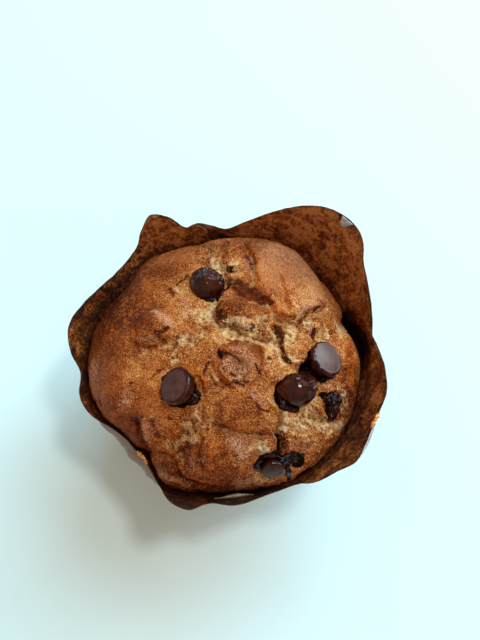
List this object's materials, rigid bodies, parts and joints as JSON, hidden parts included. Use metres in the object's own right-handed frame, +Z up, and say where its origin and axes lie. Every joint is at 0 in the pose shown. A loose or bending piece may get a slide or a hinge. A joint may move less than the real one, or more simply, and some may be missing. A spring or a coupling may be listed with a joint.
{
  "type": "chocolate chip muffin in a paper case",
  "caption": "Domed, cracked muffin with chocolate chips in its crust, standing in a pleated tulip paper case with raised petal corners.",
  "frame": {"origin": "centre of the case's flat base, on the surface it stands on", "axes": "+Z up out of the case; the tallest petal of the paper stands towards +X and +Y"},
  "size_m": [0.0915, 0.0876, 0.0827],
  "materials": {
    "case_paper": "brown greaseproof baking paper, mottled with butter, matte to satin",
    "crust": "baked golden brown crust, matte, grainy, paler where it has cracked open",
    "chocolate": "dark chocolate, satin gloss, glossier where it melted"
  },
  "bodies": {
    "root": {"paper_case": "case_paper", "muffin": "crust", "chip_back": "chocolate", "chip_left": "chocolate", "chip_right": "chocolate", "chip_middle": "chocolate", "chip_front": "chocolate", "chip_broken": "chocolate"}
  },
  "joints": []
}
